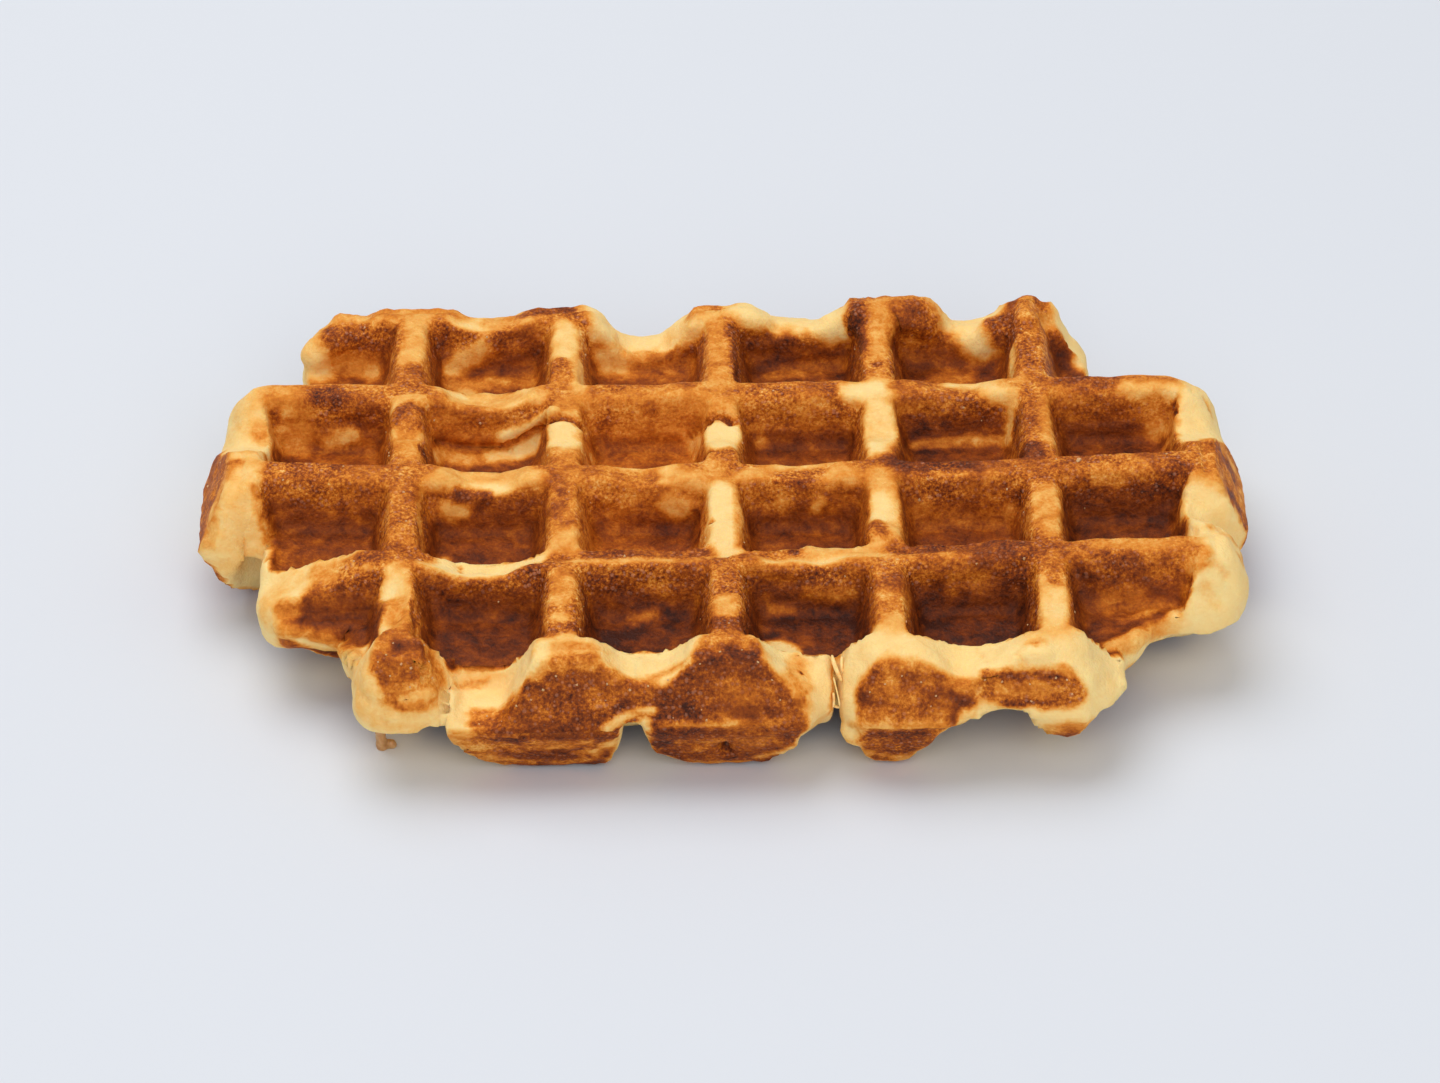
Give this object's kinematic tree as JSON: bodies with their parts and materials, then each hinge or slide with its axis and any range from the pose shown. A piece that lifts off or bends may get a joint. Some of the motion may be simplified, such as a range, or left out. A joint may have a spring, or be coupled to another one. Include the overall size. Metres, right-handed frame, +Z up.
{
  "type": "liege waffle",
  "caption": "Thick sweet yeast waffle with deep square pockets on both faces, browned ribs and an uneven rim of rounded dough lobes.",
  "frame": {"origin": "centre of the bounding box at the height of the lower ribs, on which the waffle rests", "axes": "+X along the longer side, +Y towards the back, +Z up through the thickness"},
  "size_m": [0.1782, 0.111, 0.024],
  "materials": {
    "crust": "matte baked crust, browned where it touched the iron and pale cream yellow where it didn't"
  },
  "bodies": {
    "root": {"waffle": "crust"}
  },
  "joints": []
}
